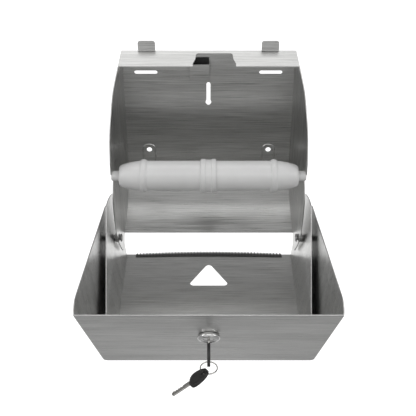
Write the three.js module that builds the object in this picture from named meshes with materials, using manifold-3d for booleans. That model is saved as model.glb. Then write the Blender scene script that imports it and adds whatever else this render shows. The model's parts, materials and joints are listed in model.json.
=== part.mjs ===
// Lockable wall-mounted paper roll holder, shown with its cover swung open.
// Millimetres. X runs across, -Y points out from the wall, +Z is up.
// The origin is on the wall face, midway between the two lower screw holes.
import * as THREE from 'three';
import { mergeVertices } from 'three/addons/utils/BufferGeometryUtils.js';
import Module from 'manifold-3d';

const wasm = await Module();
wasm.setup();

// ---- driving dimensions ----
const SHEET = 1.2;              // thickness of the folded steel
const GAP = 0.3;                // clearance between pieces that touch
const FAR = 400;                // reach of cutting blocks

const TOP_Z = 145;              // top corner of the back plate
const HALF_BACK = 109.5;        // inner half width of the housing at the wall
const FLARE = 0.1158;           // the side cheeks splay out by this much per mm of depth
const LIP = { out: 24.8, z: 134.8 };          // front edge of the sloping top flange
const SCOOP = { out: 51.5, z: -103.1, start: -10 };  // lower back plate curls forward
const NOTCH_R = 6.9;            // cradle for the spindle's end pins

const SPINDLE = { out: 91.4, z: 15.6 };
const PIVOT = { out: 81.6, z: -89.1 };

const REAR = 32.8;              // depth of the cover's tear edge, cover open
const FLOOR_Z = -155.3;         // inner face of the front panel, cover open
const PANEL_LONG = 210.8;       // tear edge to the fold with the top panel
const COVER_HALF = 129.3;       // outer half width of the cover at the front panel
const COVER_FLARE = 0.1005;     // cover sides splay towards the wall
const BEND_R = 6;               // fold radius between front panel and sides
const ROOF_ANGLE = 28.8 * Math.PI / 180;      // top panel's slope from square
const ROOF_LONG = 166;          // fold to wall edge, along the top panel
const ARM_HALF = 116.6;         // inner face of each hinge arm at the front panel
const ARM_LEAN = 0.1448;

const LOCK_UP = 100;            // lock centre, from the fold along the top panel
const STEEL = 0xb9bab6;
const DARK_STEEL = 0x8d8e8b;
const CHROME = 0xd6d6d4;
const WHITE = 0xe9e9e7;
const BLACK = 0x1d1d1c;

const model = new THREE.Group();

// ---- solids and meshes ----
function solid(geometry) {
  const bare = geometry.index ? geometry.toNonIndexed() : geometry.clone();
  bare.deleteAttribute('normal');
  bare.deleteAttribute('uv');
  const welded = mergeVertices(bare, 1e-4);
  return new wasm.Manifold(new wasm.Mesh({
    numProp: 3,
    vertProperties: new Float32Array(welded.attributes.position.array),
    triVerts: new Uint32Array(welded.index.array),
  }));
}

function geometryOf(body) {
  const mesh = body.getMesh();
  const geometry = new THREE.BufferGeometry();
  geometry.setAttribute('position', new THREE.BufferAttribute(mesh.vertProperties, 3));
  geometry.setIndex(new THREE.BufferAttribute(mesh.triVerts, 1));
  geometry.computeVertexNormals();
  return geometry;
}

function add(parent, name, geometry, color, metalness, roughness) {
  const material = new THREE.MeshStandardMaterial({ color, metalness, roughness });
  const mesh = new THREE.Mesh(geometry, material);
  mesh.name = name;
  parent.add(mesh);
  return mesh;
}

function steel(parent, name, geometry) {
  return add(parent, name, geometry, STEEL, 1, 0.35);
}

function chrome(parent, name, geometry) {
  return add(parent, name, geometry, CHROME, 1, 0.15);
}

function outline(points) {
  return new THREE.Shape(points.map(([x, y]) => new THREE.Vector2(x, y)));
}

function extrude(shape, depth, curveSegments = 12) {
  return new THREE.ExtrudeGeometry(shape, { depth, bevelEnabled: false, curveSegments });
}

// A shape drawn in (out, z), seen from the side, and extruded from x0 to x1.
function sidePlate(shape, x0, x1) {
  const turn = new THREE.Matrix4().set(0, 0, -1, x1, -1, 0, 0, 0, 0, 1, 0, 0, 0, 0, 0, 1);
  return extrude(shape, x1 - x0).applyMatrix4(turn);
}

// A shape drawn in (x, z), seen from the front, and extruded from one depth to another.
function frontPlate(shape, out0, out1) {
  const turn = new THREE.Matrix4().set(1, 0, 0, 0, 0, 0, -1, -out0, 0, 1, 0, 0, 0, 0, 0, 1);
  return extrude(shape, out1 - out0).applyMatrix4(turn);
}

// A shape drawn in (x, out), seen from above, and extruded from z0 to z1.
function topPlate(shape, z0, z1) {
  const turn = new THREE.Matrix4().set(1, 0, 0, 0, 0, -1, 0, 0, 0, 0, -1, z1, 0, 0, 0, 1);
  return extrude(shape, z1 - z0).applyMatrix4(turn);
}

// Slides each point sideways by slope * (height or depth), so an upright plate leans.
function leanWithDepth(geometry, slope) {
  return geometry.applyMatrix4(new THREE.Matrix4().makeShear(0, 0, -slope, 0, 0, 0));
}

function leanWithHeight(geometry, slope, zeroHeight) {
  geometry.translate(0, 0, -zeroHeight);
  geometry.applyMatrix4(new THREE.Matrix4().makeShear(0, 0, 0, 0, slope, 0));
  return geometry.translate(0, 0, zeroHeight);
}

function mirrored(geometry) {
  const flipped = geometry.index ? geometry.toNonIndexed() : geometry.clone();
  const p = flipped.attributes.position;
  for (let i = 0; i < p.count; i += 3) {
    const a = [p.getX(i), p.getY(i), p.getZ(i)];
    const b = [p.getX(i + 1), p.getY(i + 1), p.getZ(i + 1)];
    const c = [p.getX(i + 2), p.getY(i + 2), p.getZ(i + 2)];
    p.setXYZ(i, -a[0], a[1], a[2]);
    p.setXYZ(i + 1, -c[0], c[1], c[2]);
    p.setXYZ(i + 2, -b[0], b[1], b[2]);
  }
  flipped.computeVertexNormals();
  return flipped;
}

function box(x0, x1, out0, out1, z0, z1) {
  return new THREE.BoxGeometry(x1 - x0, out1 - out0, z1 - z0)
    .translate((x0 + x1) / 2, -(out0 + out1) / 2, (z0 + z1) / 2);
}

// A turned piece whose profile is a list of [radius, place along the axis].
function turned(profile, segments = 32) {
  return new THREE.LatheGeometry(profile.map(([r, y]) => new THREE.Vector2(r, y)), segments);
}

function alongX(geometry, out, z) {
  return geometry.rotateZ(-Math.PI / 2).translate(0, -out, z);
}

function slotHole(x, z, long, wide, upright = false) {
  const r = wide / 2;
  const half = long / 2 - r;
  const shape = new THREE.Shape();
  shape.absarc(half, 0, r, -Math.PI / 2, Math.PI / 2);
  shape.absarc(-half, 0, r, Math.PI / 2, Math.PI * 1.5);
  const geometry = extrude(shape, 20, 8).translate(0, 0, -10);
  if (upright) geometry.rotateZ(Math.PI / 2);
  return solid(geometry.rotateX(Math.PI / 2).translate(x, 0, z));
}

function roundHole(x, z, r) {
  return solid(new THREE.CylinderGeometry(r, r, 20, 24).translate(x, 0, z));
}

// ---- housing ----
function scoopArc(offset, steps) {
  const drop = SCOOP.start - SCOOP.z;
  const sweep = 2 * Math.atan(SCOOP.out / drop);
  const radius = drop / Math.sin(sweep);
  const points = [];
  for (let i = 0; i <= steps; i += 1) {
    const a = sweep * i / steps;
    const r = radius - offset;
    points.push([radius - r * Math.cos(a), SCOOP.start - r * Math.sin(a)]);
  }
  return points;
}

function backProfile() {
  const slope = Math.atan2(TOP_Z - LIP.z, LIP.out);
  const dz = SHEET / Math.cos(slope);
  const corner = TOP_Z - SHEET * Math.tan(slope) - dz;
  const outer = [[LIP.out, LIP.z], [0, TOP_Z], ...scoopArc(0, 14)];
  const inner = [...scoopArc(SHEET, 14).reverse(), [SHEET, corner], [LIP.out, LIP.z - dz]];
  return outline([...outer, ...inner]);
}

function cheekOutline() {
  const shape = new THREE.Shape();
  const upper = [[37.4, 130.4], [60.7, 117.6], [81.2, 95.6], [95, 69.9], [101.6, 39.5]];
  const lower = [[96.5, -1.1], [101.5, -21.6], [97.8, -64.9], [86, -95], [69.3, -119.9]];
  const notchTop = SPINDLE.z + NOTCH_R;
  const notchFoot = SPINDLE.z - NOTCH_R;
  shape.moveTo(0, TOP_Z);
  shape.lineTo(LIP.out, LIP.z);
  shape.splineThru(upper.map(([a, b]) => new THREE.Vector2(a, b)));
  shape.lineTo(102, notchTop + 1.5);
  shape.lineTo(100.5, notchTop);
  shape.lineTo(SPINDLE.out, notchTop);
  shape.absarc(SPINDLE.out, SPINDLE.z, NOTCH_R, Math.PI / 2, Math.PI * 1.5);
  shape.lineTo(92.5, notchFoot);
  shape.splineThru(lower.map(([a, b]) => new THREE.Vector2(a, b)));
  shape.lineTo(65, -122.5);
  shape.lineTo(58.5, -121.5);
  shape.lineTo(SCOOP.out, -104.5);
  for (const [out, z] of scoopArc(0, 10).reverse()) shape.lineTo(out, z);
  return shape;
}

function cheek() {
  const plate = sidePlate(cheekOutline(), HALF_BACK, HALF_BACK + SHEET);
  return leanWithDepth(plate, FLARE);
}

function flangeCutout() {
  const shape = outline([[-20, 40], [-20, 20.5], [-17, 14], [-16, 6.5], [-13.5, 4.5],
    [27.5, 4.5], [30, 6.5], [31, 14], [34, 20.5], [34, 40]]);
  return solid(topPlate(shape, 110, FAR));
}

function backHousing() {
  const wide = 140;
  const wedge = outline([[-HALF_BACK - SHEET, 0], [HALF_BACK + SHEET, 0],
    [HALF_BACK + SHEET + FLARE * wide, wide], [-HALF_BACK - SHEET - FLARE * wide, wide]]);
  const sheet = solid(sidePlate(backProfile(), -wide, wide)).intersect(solid(topPlate(wedge, -FAR, FAR)));
  const right = cheek();
  const hingeHole = solid(alongX(new THREE.CylinderGeometry(3.3, 3.3, 300, 24), PIVOT.out, PIVOT.z));
  let body = sheet.add(solid(right)).add(solid(mirrored(right)));
  const holes = [
    flangeCutout(), hingeHole,
    slotHole(-80.5, 115.2, 29.5, 4.8), slotHole(79.5, 115.2, 29.5, 4.8),
    slotHole(-0.4, 84.5, 33, 5, true), roundHole(-0.4, 72.4, 3.7),
    roundHole(-80.5, 0, 3.5), roundHole(80.5, 0, 3.5),
  ];
  for (const hole of holes) body = body.subtract(hole);
  return geometryOf(body);
}

function stopTab(x) {
  const half = 11;
  const r = 3.5;
  const foot = TOP_Z + GAP + 0.2;
  const top = TOP_Z + 13.4;
  const shape = new THREE.Shape();
  shape.moveTo(x - half, foot);
  shape.lineTo(x + half, foot);
  shape.absarc(x + half - r, top - r, r, 0, Math.PI / 2);
  shape.absarc(x - half + r, top - r, r, Math.PI / 2, Math.PI);
  return frontPlate(shape, 0.2, 0.2 + 1.5);
}

// The strike is a joggled tongue: its foot is welded flat and its upper half stands off the plate.
function lockStrike() {
  const face = SHEET + GAP;
  const stand = face + 5.6;
  const shape = outline([[face, 103.4], [face + 1.5, 103.4], [face + 1.5, 113.4], [stand + 1.5, 115.6],
    [stand + 1.5, 129.2], [stand, 129.2], [stand, 116.4], [face, 114.2]]);
  return sidePlate(shape, -24.5, 1);
}

function strikePad() {
  return frontPlate(outline([[-21, 118], [0.5, 118], [0.5, 136], [-21, 136]]), SHEET + GAP, SHEET + GAP + 0.8);
}

// ---- cover ----
const up = (t) => FLOOR_Z + t;
const along = (s) => REAR + s;

function coverSection(inset) {
  const half = COVER_HALF - inset;
  const high = 190;
  const bottom = up(inset - SHEET);
  const r = BEND_R - inset;
  const lean = Math.atan(COVER_FLARE);
  const shape = new THREE.Shape();
  const side = half - r;
  shape.absarc(side, bottom + r, r, -Math.PI / 2, -lean);
  shape.lineTo(half + COVER_FLARE * high, bottom + high);
  shape.lineTo(-half - COVER_FLARE * high, bottom + high);
  shape.absarc(-side, bottom + r, r, Math.PI + lean, Math.PI * 1.5);
  return frontPlate(shape, 0, FAR);
}

function roofPoint(distance, inset) {
  const s = PANEL_LONG + distance * Math.sin(ROOF_ANGLE) - inset * Math.cos(ROOF_ANGLE);
  const t = -SHEET + distance * Math.cos(ROOF_ANGLE) + inset * Math.sin(ROOF_ANGLE);
  return [along(s), up(t)];
}

function coverSide() {
  const shape = new THREE.Shape();
  shape.moveTo(along(0), up(-SHEET));
  shape.lineTo(along(0), up(30));
  shape.lineTo(along(8), up(80));
  shape.quadraticCurveTo(along(12), up(97), along(26), up(101.5));
  shape.lineTo(along(262), up(149));
  shape.quadraticCurveTo(along(282), up(153), ...roofPoint(ROOF_LONG, 0));
  shape.lineTo(...roofPoint(0, 0));
  return sidePlate(shape, -FAR, FAR);
}

function coverHollow() {
  const shape = outline([[along(-20), up(0)], [along(-20), up(FAR)],
    roofPoint(FAR, SHEET), roofPoint(SHEET * 0.5914, SHEET)]);
  return sidePlate(shape, -FAR, FAR);
}

function windowCut() {
  const side = 57;
  const r = 4.5;
  const high = side * Math.sqrt(3) / 2;
  const corners = [[0, along(19.5)], [side / 2, along(19.5 + high)], [-side / 2, along(19.5 + high)]];
  const middle = along(19.5 + high * 2 / 3);
  const shape = new THREE.Shape();
  corners.forEach(([x, out], i) => {
    const reach = Math.hypot(x, out - middle);
    const scale = (reach - 2 * r) / reach;
    const start = [-Math.PI * 5 / 6, -Math.PI / 6, Math.PI / 2][i];
    shape.absarc(x * scale, middle + (out - middle) * scale, r, start, start + Math.PI * 2 / 3);
  });
  return solid(topPlate(shape, FLOOR_Z - 20, FLOOR_Z + 20));
}

function coverShell() {
  const outer = solid(coverSection(0)).intersect(solid(coverSide()));
  const inner = solid(coverSection(SHEET)).intersect(solid(coverHollow()));
  const lockHole = lockFrame().apply(new THREE.CylinderGeometry(8.4, 8.4, 20, 32).rotateX(Math.PI / 2));
  return geometryOf(outer.subtract(inner).subtract(windowCut()).subtract(solid(lockHole)));
}

function hingeArm() {
  const shape = new THREE.Shape();
  shape.moveTo(along(1), up(GAP));
  shape.lineTo(along(-8), up(55));
  shape.lineTo(along(-12), up(84));
  shape.quadraticCurveTo(along(-13), up(98), along(0), up(104));
  shape.quadraticCurveTo(along(24), up(114), along(42), up(116));
  shape.quadraticCurveTo(along(48), up(117), along(54), up(113.6));
  shape.lineTo(along(206), up(44.4));
  shape.lineTo(along(206), up(GAP));
  const plate = leanWithHeight(sidePlate(shape, ARM_HALF, ARM_HALF + SHEET), ARM_LEAN, FLOOR_Z);
  const foot = box(ARM_HALF, ARM_HALF + 6.4, along(2), along(206), up(GAP), up(GAP + SHEET));
  const pinHole = alongX(new THREE.CylinderGeometry(3.3, 3.3, 300, 24), PIVOT.out, PIVOT.z);
  return geometryOf(solid(plate).add(solid(foot)).subtract(solid(pinHole)));
}

function tearBar() {
  const teeth = 46;
  const half = 104;
  const rise = 4.6;
  const bow = (x) => rise * (x / half) ** 2;
  const points = [];
  const pitch = 2 * half / teeth;
  const tip = -5.3;
  const root = -1.4;
  for (let i = 0; i < teeth; i += 1) {
    const x = -half + pitch * i;
    const tooth = [[0, root], [0.3, tip], [0.62, tip], [0.92, root]];
    for (const [share, s] of tooth) points.push([x + share * pitch, along(bow(x) + s)]);
  }
  const back = 12;
  for (let i = 0; i <= back; i += 1) {
    const x = half - 2 * half * i / back;
    points.push([x, along(4.4 + bow(x) / 2)]);
  }
  return topPlate(outline(points), up(GAP), up(GAP + 1));
}

// ---- hinge hardware ----
function hingePin() {
  const inside = HALF_BACK + FLARE * PIVOT.out;
  const end = 134.2;
  const head = inside - GAP - 0.9;
  return turned([[0, head - 2.2], [3.6, head - 2.2], [5.2, head - 1.4], [5.5, head - 0.6], [5.5, head],
    [3, head], [3, end - 0.5], [2.5, end], [0, end]], 24);
}

function hingeSpacer() {
  const from = HALF_BACK + FLARE * PIVOT.out + SHEET + 1.1;
  const to = ARM_HALF + ARM_LEAN * (PIVOT.z - FLOOR_Z) - 1.1;
  return turned([[3.3, from], [5.6, from], [5.6, to], [3.3, to], [3.3, from]], 24);
}

function hingeClip() {
  const from = ARM_HALF + ARM_LEAN * (PIVOT.z - FLOOR_Z) + SHEET + 1.2;
  return turned([[3.3, from], [5.2, from], [5.2, from + 1], [4.4, from + 2], [3.3, from + 2], [3.3, from]], 24);
}

// ---- spindle ----
const BODY_R = 19.2;
const STUB_R = 6.3;

function ridge(x, r) {
  return [[r, x - 4.6], [r + 1.2, x - 3], [r + 1.9, x - 1.4], [r + 1.9, x + 1.4], [r + 1.2, x + 3], [r, x + 4.6]];
}

function taperedEnd(r) {
  return [[r, 86.5], [r - 0.7, 92], [r - 2.2, 100], [r - 4.2, 107], [r - 5.6, 110.5], [r - 7.4, 112.4],
    [STUB_R + 1.4, 112.9], [STUB_R, 113.6], [STUB_R, 121.6], [STUB_R - 1, 122.8], [0, 122.8]];
}

function spindleSleeve() {
  const left = taperedEnd(BODY_R).reverse().map(([r, x]) => [r, -x]);
  const outside = [...ridge(-81.7, BODY_R), [BODY_R, -11], [21, -10], [21.6, -8.6], [21.6, -4.6],
    [20.7, -3.4], [20.7, 2.8], [21.6, 4], [21.6, 7.6], [21, 9.2]];
  const inside = [[19.6, 9.2], [19.6, -9], [16.9, -9], [16.9, -74], [0, -74]];
  return turned([...left, ...outside, ...inside], 40);
}

function spindlePlunger() {
  const bore = [[0, -34], [11.4, -34], [11.4, -52]];
  const neck = [[16.5, -52], [16.5, 3.6], [BODY_R, 3.6], [BODY_R, 77.1]];
  return turned([...bore, ...neck, ...ridge(81.7, BODY_R), ...taperedEnd(BODY_R)], 40);
}

class Helix extends THREE.Curve {
  getPoint(t, target = new THREE.Vector3()) {
    const turns = 7;
    const angle = Math.PI * 2 * turns * t;
    return target.set(-73.1 + 37.9 * t, 9.2 * Math.cos(angle), 9.2 * Math.sin(angle));
  }
}

function spindleSpring() {
  const shape = new THREE.Shape();
  shape.absarc(0, 0, 0.7, 0, Math.PI * 2);
  const geometry = new THREE.ExtrudeGeometry(shape,
    { steps: 112, extrudePath: new Helix(), curveSegments: 3, bevelEnabled: false });
  return geometry.translate(0, -SPINDLE.out, SPINDLE.z);
}

// ---- lock and keys, drawn about the lock's own axis: +Z out of the top panel ----
function lockFrame() {
  const [out, z] = roofPoint(LOCK_UP, 0);
  const group = new THREE.Group();
  group.position.set(0, -out, z);
  group.rotation.x = Math.PI / 2 + ROOF_ANGLE;
  group.updateMatrixWorld(true);
  return { group, apply: (geometry) => geometry.applyMatrix4(group.matrixWorld) };
}

function aboutZ(profile, segments = 36) {
  return turned(profile, segments).rotateX(Math.PI / 2);
}

function lockBody() {
  return aboutZ([[8, -12], [8, GAP], [12.2, GAP], [12.6, 1.2], [13, 2.2], [13.1, 3.4], [12.6, 4.6], [11.4, 5.6],
    [9.6, 6], [9.2, 5.2], [6.1, 5.2], [6.1, -12], [8, -12]]);
}

function lockCore() {
  const plug = solid(aboutZ([[0, -13.6], [5.8, -13.6], [5.8, 4.8], [0, 4.8]], 24));
  const keyway = solid(new THREE.BoxGeometry(2.4, 7.4, 16).translate(0, 0, -3));
  return geometryOf(plug.subtract(keyway));
}

function lockNut() {
  const shape = new THREE.Shape();
  for (let i = 0; i < 6; i += 1) {
    const a = i * Math.PI / 3;
    shape[i ? 'lineTo' : 'moveTo'](12.8 * Math.cos(a), 12.8 * Math.sin(a));
  }
  const hole = new THREE.Path();
  hole.absarc(0, 0, 8.3, 0, Math.PI * 2, true);
  shape.holes.push(hole);
  return extrude(shape, 3.4, 16).translate(0, 0, -SHEET - GAP - 3.4);
}

// The cam's hooked end drops behind the strike's tongue when the lock is turned.
const CAM_TOP = -13.9;
const CAM_LONG = 54.2;
const HOOK_DROP = 8.5;

function lockCam() {
  const shape = new THREE.Shape();
  shape.absarc(0, 0, 8, Math.PI / 2, Math.PI * 1.5);
  shape.lineTo(CAM_LONG, -6);
  shape.lineTo(CAM_LONG, 6);
  const hole = new THREE.Path();
  hole.absarc(0, 0, 2.3, 0, Math.PI * 2, true);
  shape.holes.push(hole);
  const bar = solid(extrude(shape, 2, 10).translate(0, 0, CAM_TOP - 2));
  const hook = solid(new THREE.BoxGeometry(2, 12, HOOK_DROP).translate(CAM_LONG - 1, 0, CAM_TOP - HOOK_DROP / 2));
  return geometryOf(bar.add(hook));
}

function camScrew() {
  return aboutZ([[0, CAM_TOP - 4.4], [3.4, CAM_TOP - 4.4], [4.1, CAM_TOP - 3.4], [4.1, CAM_TOP - 2 - GAP],
    [2, CAM_TOP - 2 - GAP], [2, CAM_TOP - 0.1], [0, CAM_TOP - 0.1]], 20);
}

// A key lies in the plane x = 0 with its blade running down -Z from the grip.
function keyBlade(tip) {
  const shape = new THREE.Shape();
  const steps = Math.floor((tip - 3) / 3.4);
  shape.moveTo(-3.3, 11);
  shape.lineTo(-3.3, -tip + 2);
  shape.lineTo(-1, -tip);
  shape.lineTo(1.4, -tip);
  shape.lineTo(3.3, -tip + 2);
  for (let i = 0; i < steps; i += 1) {
    const z = -tip + 3.5 + i * 3.4;
    shape.lineTo(3.3, z);
    shape.lineTo(1.9 - 0.3 * (i % 2), z + 1.2);
    shape.lineTo(1.9 - 0.3 * (i % 2), z + 2.2);
    shape.lineTo(3.3, z + 3.4);
  }
  shape.lineTo(3.3, 11);
  return turnToKey(extrude(shape, 1.8, 6));
}

// Drawn in (y, z) and given thickness along X.
function turnToKey(geometry) {
  geometry.computeBoundingBox();
  const thick = geometry.boundingBox.max.z;
  const turn = new THREE.Matrix4().set(0, 0, 1, -thick / 2, 1, 0, 0, 0, 0, 1, 0, 0, 0, 0, 0, 1);
  return geometry.applyMatrix4(turn);
}

const GRIP_HOLE_Z = 30.8;
const GRIP_HOLE_R = 3.2;

function keyGrip() {
  const shape = new THREE.Shape();
  shape.moveTo(-4.6, 10.4);
  shape.lineTo(4.6, 10.4);
  shape.quadraticCurveTo(10.6, 12.4, 10.8, 18.5);
  shape.quadraticCurveTo(10.8, 26, 7.4, 31.6);
  shape.quadraticCurveTo(4.8, 36.2, 0, 36.2);
  shape.quadraticCurveTo(-4.8, 36.2, -7.4, 31.6);
  shape.quadraticCurveTo(-10.8, 26, -10.8, 18.5);
  shape.quadraticCurveTo(-10.6, 12.4, -4.6, 10.4);
  const hole = new THREE.Path();
  hole.absarc(0, GRIP_HOLE_Z, GRIP_HOLE_R, 0, Math.PI * 2, true);
  shape.holes.push(hole);
  const body = solid(turnToKey(extrude(shape, 3.6, 8)));
  const pocket = solid(new THREE.BoxGeometry(2.4, 7.2, 1.6).translate(0, 0, 10.6));
  return geometryOf(body.subtract(pocket));
}

const RING_R = 9.6;
const WIRE_R = 0.82;

// Places a point of the key in the world: the inserted key sits on the lock's axis.
function keyPoint(z) {
  const frame = lockFrame();
  return new THREE.Vector3(0, 0, z).applyMatrix4(frame.group.matrixWorld);
}

function keyRing(parent) {
  const ring = new THREE.TorusGeometry(RING_R, WIRE_R, 8, 40);
  ring.rotateX(Math.PI / 2);
  const hole = keyPoint(GRIP_HOLE_Z);
  return chrome(parent, 'key_ring', ring.translate(hole.x, hole.y, hole.z - RING_R));
}

// The spare key hangs from the lower left of the ring and is turned to face forwards.
const SPARE_AT = 242 * Math.PI / 180;
const GRIP_HANG = 0.9;

function spareKey(parent) {
  const hole = keyPoint(GRIP_HOLE_Z);
  const group = new THREE.Group();
  group.position.set(RING_R * Math.cos(SPARE_AT), hole.y, hole.z - RING_R + RING_R * Math.sin(SPARE_AT));
  group.rotation.set(-0.1, 0.87, 0);
  add(group, 'spare_key_grip', keyGrip().translate(0, 0, -GRIP_HOLE_Z - GRIP_HANG), BLACK, 0, 0.45);
  chrome(group, 'spare_key_blade', keyBlade(17).translate(0, 0, -GRIP_HOLE_Z - GRIP_HANG));
  parent.add(group);
}

function buildHousing() {
  steel(model, 'back_housing', backHousing());
  steel(model, 'stop_tab_left', stopTab(-78.4));
  steel(model, 'stop_tab_right', stopTab(77.6));
  steel(model, 'lock_strike', lockStrike());
  add(model, 'strike_pad', strikePad(), BLACK, 0, 0.8);
}

function buildCover() {
  steel(model, 'cover_shell', coverShell());
  const arm = hingeArm();
  steel(model, 'hinge_arm_right', arm);
  steel(model, 'hinge_arm_left', mirrored(arm));
  add(model, 'tear_bar', tearBar(), DARK_STEEL, 1, 0.4);
}

function buildHinges() {
  const pieces = { hinge_pin: hingePin(), hinge_spacer: hingeSpacer(), hinge_clip: hingeClip() };
  for (const [name, geometry] of Object.entries(pieces)) {
    const right = alongX(geometry, PIVOT.out, PIVOT.z);
    add(model, `${name}_right`, right, DARK_STEEL, 1, 0.35);
    add(model, `${name}_left`, mirrored(right), DARK_STEEL, 1, 0.35);
  }
}

function buildSpindle() {
  add(model, 'spindle_sleeve', alongX(spindleSleeve(), SPINDLE.out, SPINDLE.z), WHITE, 0, 0.5);
  add(model, 'spindle_plunger', alongX(spindlePlunger(), SPINDLE.out, SPINDLE.z), WHITE, 0, 0.5);
  chrome(model, 'spindle_spring', spindleSpring());
}

function buildLock() {
  const { group } = lockFrame();
  chrome(group, 'lock_body', lockBody());
  chrome(group, 'lock_core', lockCore());
  chrome(group, 'lock_nut', lockNut());
  chrome(group, 'lock_cam', lockCam());
  chrome(group, 'cam_screw', camScrew());
  chrome(group, 'key_blade', keyBlade(10));
  add(group, 'key_grip', keyGrip(), BLACK, 0, 0.45);
  model.add(group);
  keyRing(model);
  spareKey(model);
}

buildHousing();
buildCover();
buildHinges();
buildSpindle();
buildLock();

export default model;
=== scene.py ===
# Looks for the lockable wall-mounted paper roll holder. Metres, +Z up, the wall at Y = 0.
import json
import math

import bmesh
import bpy
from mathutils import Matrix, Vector

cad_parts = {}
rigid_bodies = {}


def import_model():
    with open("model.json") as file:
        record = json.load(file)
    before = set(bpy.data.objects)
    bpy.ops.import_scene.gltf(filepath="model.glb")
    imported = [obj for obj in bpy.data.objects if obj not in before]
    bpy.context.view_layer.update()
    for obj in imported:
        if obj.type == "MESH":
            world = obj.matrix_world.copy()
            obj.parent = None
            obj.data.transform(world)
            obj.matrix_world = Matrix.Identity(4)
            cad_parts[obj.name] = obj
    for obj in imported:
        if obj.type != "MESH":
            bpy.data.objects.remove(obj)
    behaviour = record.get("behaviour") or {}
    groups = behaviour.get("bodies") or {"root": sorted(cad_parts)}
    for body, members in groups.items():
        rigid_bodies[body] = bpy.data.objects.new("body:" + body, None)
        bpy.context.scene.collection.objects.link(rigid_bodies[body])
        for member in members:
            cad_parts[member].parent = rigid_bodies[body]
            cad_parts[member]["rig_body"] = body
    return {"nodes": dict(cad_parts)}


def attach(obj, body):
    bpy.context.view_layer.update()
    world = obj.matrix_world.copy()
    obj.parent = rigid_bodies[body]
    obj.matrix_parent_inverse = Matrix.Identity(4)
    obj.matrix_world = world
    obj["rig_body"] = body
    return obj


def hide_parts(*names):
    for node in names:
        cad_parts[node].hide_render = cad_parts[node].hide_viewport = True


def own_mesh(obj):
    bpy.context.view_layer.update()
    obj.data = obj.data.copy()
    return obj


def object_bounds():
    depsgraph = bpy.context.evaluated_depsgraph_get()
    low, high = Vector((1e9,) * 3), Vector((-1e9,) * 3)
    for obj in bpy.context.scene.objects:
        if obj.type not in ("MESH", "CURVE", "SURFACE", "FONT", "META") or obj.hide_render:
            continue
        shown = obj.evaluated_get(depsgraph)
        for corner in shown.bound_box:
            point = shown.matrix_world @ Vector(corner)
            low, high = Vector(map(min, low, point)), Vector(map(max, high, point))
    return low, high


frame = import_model()
CAD_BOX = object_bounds()
MM = 0.001

# ---- camera ----
CAMERA_AT = (0.0, -1.008, 0.6044)
CAMERA_TILT = 55.15
LENS = 74.7
SENSOR = 36.0
SHIFT_X = -0.0018
NEAR_CLIP = 0.01

# ---- stage ----
FLOOR_DROP = 1.2
STAGE_HALF = 14.0
STAGE_CURVE = 2.0
STAGE_BACK = 3.5
STAGE_STEPS = 16
STAGE_WHITE = (0.5, 0.5, 0.5)
STAGE_ROUGHNESS = 0.9
# The stage glows more towards the back (Y) and stops glowing at GLOW_TOP (Z).
STAGE_GLOW = 1.0
GLOW_FROM = -0.1
GLOW_FULL = 0.7
GLOW_TOP = -0.45
GLOW_FADE = 0.35

# ---- lights: place, size and power ----
WORLD_STRENGTH = 0.6
LIGHTS_AIM = (0, -0.12, 0)
LIGHTS = {
    "overhead": ((0, 0.45, 1.65), (1.5, 0.8), 4.2),
    "front_soft": ((0, -1.55, 1.5), (1.8, 0.35), 3.2),
    "front_low": ((0, -2.0, -0.5), (2.2, 0.6), 2),
    "left_fill": ((-1.5, -0.8, 0.9), (0.5, 1.0), 5),
    "right_fill": ((1.5, -0.8, 0.9), (0.5, 1.0), 4),
}

# ---- noise in the surfaces ----
EVEN = (1, 1, 1)
NOISE_ROUGHNESS = 0.6
# Most of a noise's values lie in this range.
NOISE_LOW = 0.35
NOISE_HIGH = 0.65
# Streaks: the noise is slowed by these shares along the brushing.
FINE_STREAK = 0.012
BROAD_STREAK = 0.05
# Scales: features per metre.
SHEET_GRAIN = 1500.0
SHEET_BANDS = 55.0
SHEET_CLOUD = 9.0
CUTTING_GRAIN = 1100.0
PLATED_SMEAR = 160.0
PLATED_GRAIN = 900.0
PLASTIC_CLOUD = 35.0
PLASTIC_PATCHES = 420.0
# The brushing turns upright between these values of the normal's sideways share.
TURN_FROM = 0.6
TURN_FULL = 0.8

# ---- surface settings that do not vary over a piece ----
SHEET_ANISOTROPY = 0.55
SHEET_BUMP = 0.04 * MM
PLATED_BUMP = 0.01 * MM
PLASTIC_BUMP = 0.03 * MM
PLASTIC_IOR = 1.5
COAT_ROUGHNESS = 0.2


def make_camera():
    """Looks down at the open holder from straight in front."""
    data = bpy.data.cameras.new("camera")
    data.lens = LENS
    data.sensor_width = SENSOR
    data.shift_x = SHIFT_X
    data.clip_start = NEAR_CLIP
    camera = bpy.data.objects.new("camera", data)
    camera.location = CAMERA_AT
    camera.rotation_euler = (math.radians(CAMERA_TILT), 0, 0)
    bpy.context.collection.objects.link(camera)
    bpy.context.scene.camera = camera


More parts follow.
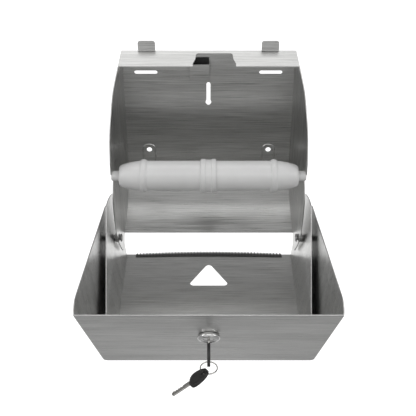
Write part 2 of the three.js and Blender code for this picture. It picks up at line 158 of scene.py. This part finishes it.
# ---- nodes of a material ----
class Nodes:
    """A short way to add and link shader nodes."""

    def __init__(self, name):
        self.material = bpy.data.materials.new(name)
        self.material.use_nodes = True
        self.tree = self.material.node_tree
        self.shader = self.tree.nodes["Principled BSDF"]

    def add(self, kind, **settings):
        node = self.tree.nodes.new(kind)
        for key, value in settings.items():
            setattr(node, key, value)
        return node

    def link(self, source, target):
        self.tree.links.new(source, target)

    def set(self, **values):
        """Sets the shader's own sockets, with _ for the space in a socket's name."""
        for key, value in values.items():
            self.shader.inputs[key.replace("_", " ")].default_value = value

    def colour(self, source):
        self.link(source, self.shader.inputs["Base Color"])

    def roughness(self, source):
        self.link(source, self.shader.inputs["Roughness"])

    def coordinates(self):
        return self.add("ShaderNodeTexCoord").outputs["Object"]

    def noise(self, coords, scale, stretch=EVEN, detail=4.0):
        mapping = self.add("ShaderNodeMapping")
        mapping.inputs["Scale"].default_value = stretch
        self.link(coords, mapping.inputs["Vector"])
        noise = self.add("ShaderNodeTexNoise")
        noise.inputs["Scale"].default_value = scale
        noise.inputs["Detail"].default_value = detail
        noise.inputs["Roughness"].default_value = NOISE_ROUGHNESS
        self.link(mapping.outputs["Vector"], noise.inputs["Vector"])
        return noise.outputs["Fac"]

    def ramp(self, source, low, high, start=NOISE_LOW, end=NOISE_HIGH):
        """Maps start..end of the source to low..high, and holds it there outside."""
        ramp = self.add("ShaderNodeMapRange")
        ramp.inputs["From Min"].default_value = start
        ramp.inputs["From Max"].default_value = end
        ramp.inputs["To Min"].default_value = low
        ramp.inputs["To Max"].default_value = high
        self.link(source, ramp.inputs["Value"])
        return ramp.outputs["Result"]

    def mix(self, factor, a, b):
        mix = self.add("ShaderNodeMix")
        self.link(factor, mix.inputs[0])
        self.link(a, mix.inputs[2])
        self.link(b, mix.inputs[3])
        return mix.outputs[0]

    def multiply(self, a, b):
        product = self.add("ShaderNodeMath", operation="MULTIPLY")
        self.link(a, product.inputs[0])
        self.link(b, product.inputs[1])
        return product.outputs[0]

    def scale(self, value, factor):
        product = self.add("ShaderNodeMath", operation="MULTIPLY")
        product.inputs[1].default_value = factor
        self.link(value, product.inputs[0])
        return product.outputs[0]

    def separate(self, vector):
        parts = self.add("ShaderNodeSeparateXYZ")
        self.link(vector, parts.inputs[0])
        return parts.outputs

    def grey(self, value, tint=(1.0, 1.0, 0.985)):
        """A colour from one value, with a share of it for red, green and blue."""
        combine = self.add("ShaderNodeCombineColor")
        for i, share in enumerate(tint):
            self.link(self.scale(value, share), combine.inputs[i])
        return combine.outputs[0]

    def bump(self, height, distance, strength):
        """Distance is in metres."""
        bump = self.add("ShaderNodeBump")
        bump.inputs["Distance"].default_value = distance
        bump.inputs["Strength"].default_value = strength
        self.link(height, bump.inputs["Height"])
        self.link(bump.outputs["Normal"], self.shader.inputs["Normal"])


def brushed_grain(n, coords, fine):
    """Fine and broad streaks that run along X, and along Z where the sheet faces sideways."""
    across = n.noise(coords, fine, (FINE_STREAK, 1, 1))
    upright = n.noise(coords, fine, (1, 1, FINE_STREAK))
    broad_across = n.noise(coords, SHEET_BANDS, (BROAD_STREAK, 1, 1), 2.0)
    broad_upright = n.noise(coords, SHEET_BANDS, (1, 1, BROAD_STREAK), 2.0)
    normal = n.separate(n.add("ShaderNodeNewGeometry").outputs["Normal"])
    sideways = n.add("ShaderNodeMath", operation="ABSOLUTE")
    n.link(normal["X"], sideways.inputs[0])
    facing = n.ramp(sideways.outputs[0], 0.0, 1.0, TURN_FROM, TURN_FULL)
    return n.mix(facing, across, upright), n.mix(facing, broad_across, broad_upright)


def brushed_steel(name, shade, rough, grain=SHEET_GRAIN):
    """Bare sheet: fine streaks, broader bands and a faint cloud over both."""
    n = Nodes(name)
    coords = n.coordinates()
    fine, broad = brushed_grain(n, coords, grain)
    streaks = n.ramp(fine, 0.72, 1.16)
    bands = n.ramp(broad, 0.9, 1.07)
    cloud = n.ramp(n.noise(coords, SHEET_CLOUD, detail=3.0), 0.95, 1.04)
    tone = n.multiply(n.multiply(streaks, bands), cloud)
    n.colour(n.grey(n.scale(tone, shade)))
    n.roughness(n.ramp(fine, rough - 0.06, rough + 0.08))
    n.set(Metallic=1.0, Anisotropic=SHEET_ANISOTROPY)
    n.bump(fine, SHEET_BUMP, 0.6)
    return n.material


def plated(name, shade, rough, tint=(1.0, 1.0, 0.99)):
    """Smooth metal with smears that dull it here and there."""
    n = Nodes(name)
    coords = n.coordinates()
    smear = n.noise(coords, PLATED_SMEAR, detail=5.0)
    n.colour(n.grey(n.ramp(smear, shade * 0.93, shade * 1.03), tint))
    n.roughness(n.ramp(smear, rough * 0.8, rough * 1.6))
    n.set(Metallic=1.0)
    n.bump(n.noise(coords, PLATED_GRAIN, detail=2.0), PLATED_BUMP, 0.4)
    return n.material


def moulded(name, shade, rough, grain, tint=(1.0, 1.0, 1.0), coat=0.0):
    """Plastic or rubber with a fine moulded grain."""
    n = Nodes(name)
    coords = n.coordinates()
    cloud = n.noise(coords, PLASTIC_CLOUD, detail=3.0)
    patches = n.noise(coords, PLASTIC_PATCHES, detail=3.0)
    n.colour(n.grey(n.ramp(cloud, shade * 0.965, shade * 1.01), tint))
    n.roughness(n.ramp(patches, rough - 0.05, rough + 0.07))
    n.set(Coat_Weight=coat, Coat_Roughness=COAT_ROUGHNESS, IOR=PLASTIC_IOR)
    n.bump(n.noise(coords, grain, detail=3.0), PLASTIC_BUMP, 0.35)
    return n.material


def make_materials():
    """Each finish has a shade, a roughness and, where it differs, a grain, tint or coat."""
    return {
        "sheet": brushed_steel("sheet_steel", 0.63, 0.32),
        "cutting": brushed_steel("cutting_steel", 0.11, 0.36, grain=CUTTING_GRAIN),
        "pins": plated("pin_steel", 0.36, 0.3),
        "dull": plated("hinge_steel", 0.3, 0.42),
        "chrome": plated("lock_chrome", 0.78, 0.1),
        "nickel": plated("key_nickel", 0.74, 0.16, tint=(1.0, 0.985, 0.94)),
        "white": moulded("white_plastic", 0.74, 0.34, 700.0, tint=(1.0, 1.0, 0.995), coat=0.25),
        "black": moulded("key_plastic", 0.022, 0.36, 1300.0),
        # The near-black pad is painted shade: it stands in for the shadowed gap behind the strike's
        # raised tongue.
        "shade_pad": moulded("black_pad", 0.012, 0.75, 1600.0),
    }


# ---- pieces ----
MERGE_WITHIN = 0.002 * MM
# Angles are in degrees.
FLAT_WITHIN = 0.6
SHARP_EDGE = 28.0
SHEET_BEVEL = 0.28 * MM
BEVEL = 0.25 * MM
LOCK_BEVEL = 0.3 * MM
WIDE_FACE_WEIGHT = 100


def cleaned_copy(node, name):
    """A copy of a CAD mesh, with its flat faces joined into single polygons."""
    source = frame["nodes"][node]
    mesh = source.data.copy()
    piece = bpy.data.objects.new(name, mesh)
    bpy.context.collection.objects.link(piece)
    bm = bmesh.new()
    bm.from_mesh(mesh)
    bmesh.ops.remove_doubles(bm, verts=bm.verts, dist=MERGE_WITHIN)
    flat = math.radians(FLAT_WITHIN)
    bmesh.ops.dissolve_limit(bm, angle_limit=flat, verts=bm.verts, edges=bm.edges)
    bmesh.ops.recalc_face_normals(bm, faces=bm.faces)
    bm.to_mesh(mesh)
    bm.free()
    mesh.materials.clear()
    for attribute in list(mesh.attributes):
        if attribute.name.startswith(("custom_normal", "sharp_")):
            mesh.attributes.remove(attribute)
    return piece


def soften(piece, bevel, angle, segments):
    """Rounds the sharp edges; wide flat faces keep their own normals."""
    piece.data.shade_smooth()
    rounding = piece.modifiers.new("rounding", "BEVEL")
    rounding.width = bevel
    rounding.segments = segments
    rounding.limit_method = "ANGLE"
    rounding.angle_limit = math.radians(angle)
    weighting = piece.modifiers.new("weighting", "WEIGHTED_NORMAL")
    weighting.weight = WIDE_FACE_WEIGHT
    weighting.keep_sharp = True
    bpy.context.view_layer.update()
    evaluated = piece.evaluated_get(bpy.context.evaluated_depsgraph_get())
    mesh = bpy.data.meshes.new_from_object(evaluated)
    piece.modifiers.clear()
    piece.data = mesh


def dressed(node, material, bevel=BEVEL, angle=SHARP_EDGE, segments=2):
    """A finished piece that stands for one CAD node and rides on the same body."""
    body = frame["nodes"][node]["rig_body"]
    piece = cleaned_copy(node, f"{node}_finished")
    soften(piece, bevel, angle, segments)
    piece.data.materials.clear()
    piece.data.materials.append(material)
    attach(piece, body)
    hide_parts(node)
    return piece


def dress_everything(mat):
    """Finishes every CAD node, from the sheet parts to the spring."""
    sheet = ("back_housing", "stop_tab_left", "stop_tab_right", "lock_strike", "cover_shell",
             "hinge_arm_left", "hinge_arm_right")
    for node in sheet:
        dressed(node, mat["sheet"], SHEET_BEVEL)
    dressed("tear_bar", mat["cutting"], 0.12 * MM, angle=20.0, segments=1)
    # The strike pad carries the painted shade of the gap behind the strike's raised tongue.
    dressed("strike_pad", mat["shade_pad"], 0.3 * MM)
    for kind in ("hinge_pin", "hinge_spacer", "hinge_clip"):
        for side in ("left", "right"):
            dressed(f"{kind}_{side}", mat["dull"])
    for node in ("lock_nut", "lock_cam", "cam_screw"):
        dressed(node, mat["pins"], LOCK_BEVEL)
    for node in ("lock_body", "lock_core"):
        dressed(node, mat["chrome"], LOCK_BEVEL)
    for node in ("spindle_sleeve", "spindle_plunger"):
        dressed(node, mat["white"], 0.5 * MM, angle=32.0, segments=3)
    for node in ("key_blade", "spare_key_blade"):
        dressed(node, mat["nickel"], 0.2 * MM)
    for node in ("key_grip", "spare_key_grip"):
        dressed(node, mat["black"], 0.7 * MM, segments=3)
    dressed("key_ring", mat["nickel"], 0.05 * MM, angle=60.0, segments=1)
    dress_spring(mat["nickel"])


def dress_spring(material):
    """Finishes the spring and gives it a mesh of its own."""
    spring = dressed("spindle_spring", material, 0.02 * MM, angle=80.0, segments=1)
    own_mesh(spring)


# ---- pressed detail round the lower screw holes ----
# The screw holes are at the origin's height, so z is measured from them.
SCREW_X = 80.5 * MM
BOSS_R = 8.2 * MM
BOSS_LEG = 27 * MM
BOSS_HALF = 1.3 * MM
BOSS_RISE = 1.1 * MM
BOSS_ROOT = 0.2 * MM
BOSS_ROUNDING = 1.5
LEG_STEPS = 5
ARCH_STEPS = 20
SECTION_STEPS = 8
# The plate's front face, and the curl that begins below the holes.
PLATE_FACE = -1.2 * MM
SCOOP_START = -10 * MM
SCOOP_RADIUS = 110 * MM


def new_object(name, bm, material):
    """A smooth-shaded object made from a bmesh, which is freed."""
    mesh = bpy.data.meshes.new(name)
    bm.to_mesh(mesh)
    bm.free()
    mesh.shade_smooth()
    mesh.materials.append(material)
    made = bpy.data.objects.new(name, mesh)
    bpy.context.collection.objects.link(made)
    return made


def plate_forward(z):
    """How far the curling lower plate stands off the wall at a height."""
    drop = max(0.0, SCOOP_START - z)
    return SCOOP_RADIUS - math.sqrt(SCOOP_RADIUS ** 2 - drop ** 2)


def boss_path():
    """The ridge's line round a screw hole: up one leg, over the arch and down the other."""
    leg = [-BOSS_LEG * i / LEG_STEPS for i in range(LEG_STEPS, 0, -1)]
    turns = [math.pi - math.pi * i / ARCH_STEPS for i in range(ARCH_STEPS + 1)]
    arch = [(BOSS_R * math.cos(a), BOSS_R * math.sin(a)) for a in turns]
    return [(-BOSS_R, z) for z in leg] + arch + [(BOSS_R, z) for z in reversed(leg)]


def boss_section(x, point, out):
    """A low rounded section across the ridge, standing on the plate and rooted in it."""
    px, pz = point
    section = []
    for k in range(SECTION_STEPS + 1):
        a = math.pi * k / SECTION_STEPS
        sideways = BOSS_HALF * math.cos(a)
        rise = BOSS_RISE * math.sin(a) ** BOSS_ROUNDING - BOSS_ROOT
        z = pz + out.y * sideways
        section.append((x + px + out.x * sideways, PLATE_FACE - plate_forward(z) - rise, z))
    return section


def screw_boss(side, x, material):
    """A shallow pressed ridge: an arch over the screw hole with two legs running down."""
    path = boss_path()
    bm = bmesh.new()
    rings = []
    for i, point in enumerate(path):
        before = path[max(i - 1, 0)]
        after = path[min(i + 1, len(path) - 1)]
        run = Vector((after[0] - before[0], after[1] - before[1])).normalized()
        out = Vector((-run.y, run.x))
        rings.append([bm.verts.new(corner) for corner in boss_section(x, point, out)])
    for a_ring, b_ring in zip(rings, rings[1:]):
        for k in range(SECTION_STEPS + 1):
            m = (k + 1) % (SECTION_STEPS + 1)
            bm.faces.new((a_ring[k], a_ring[m], b_ring[m], b_ring[k]))
    bm.faces.new(rings[0])
    bm.faces.new(rings[-1][::-1])
    bmesh.ops.recalc_face_normals(bm, faces=bm.faces)
    piece = new_object(f"screw_boss_{side}", bm, material)
    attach(piece, "housing")


# ---- stage and lights ----
def plain_white():
    """A white that lights itself towards the back of the stage."""
    n = Nodes("stage_white")
    n.set(Base_Color=(*STAGE_WHITE, 1.0), Roughness=STAGE_ROUGHNESS)
    n.set(Emission_Color=(1.0, 1.0, 1.0, 1.0))
    place = n.separate(n.coordinates())
    back = n.ramp(place["Y"], 0.0, STAGE_GLOW, GLOW_FROM, GLOW_FULL)
    low = n.ramp(place["Z"], 1.0, 0.0, GLOW_TOP - GLOW_FADE, GLOW_TOP)
    n.link(n.multiply(back, low), n.shader.inputs["Emission Strength"])
    return n.material


def make_stage():
    """A pale floor below the holder that curves up into a far backdrop."""
    floor = CAD_BOX[0].z - FLOOR_DROP
    bend_y = STAGE_BACK - STAGE_CURVE
    bend_z = floor + STAGE_CURVE
    profile = [(-STAGE_HALF, floor)]
    for i in range(STAGE_STEPS + 1):
        a = math.pi / 2 * i / STAGE_STEPS
        profile.append((bend_y + STAGE_CURVE * math.sin(a), bend_z - STAGE_CURVE * math.cos(a)))
    profile.append((STAGE_BACK, floor + STAGE_HALF))
    bm = bmesh.new()
    left, right = ([bm.verts.new((x, y, z)) for y, z in profile] for x in (-STAGE_HALF, STAGE_HALF))
    for i in range(len(profile) - 1):
        bm.faces.new((left[i], right[i], right[i + 1], left[i + 1]))
    backdrop = new_object("backdrop", bm, plain_white())


def area_light(name, place, size, power):
    """A rectangular light aimed at the middle of the holder."""
    data = bpy.data.lights.new(name, "AREA")
    data.shape = "RECTANGLE"
    data.size, data.size_y = size
    data.energy = power
    light = bpy.data.objects.new(name, data)
    light.location = place
    aim = Vector(LIGHTS_AIM) - Vector(place)
    light.rotation_euler = aim.to_track_quat("-Z", "Y").to_euler()
    bpy.context.collection.objects.link(light)


def make_lights():
    """An even white surround and the soft lights."""
    world = bpy.data.worlds.new("studio")
    world.use_nodes = True
    background = world.node_tree.nodes["Background"]
    background.inputs["Color"].default_value = (1, 1, 1, 1)
    background.inputs["Strength"].default_value = WORLD_STRENGTH
    bpy.context.scene.world = world
    for name, (place, size, power) in LIGHTS.items():
        area_light(name, place, size, power)


make_camera()
materials = make_materials()
dress_everything(materials)
screw_boss("left", -SCREW_X, materials["sheet"])
screw_boss("right", SCREW_X, materials["sheet"])
make_stage()
make_lights()
bpy.context.scene.view_settings.view_transform = "Standard"
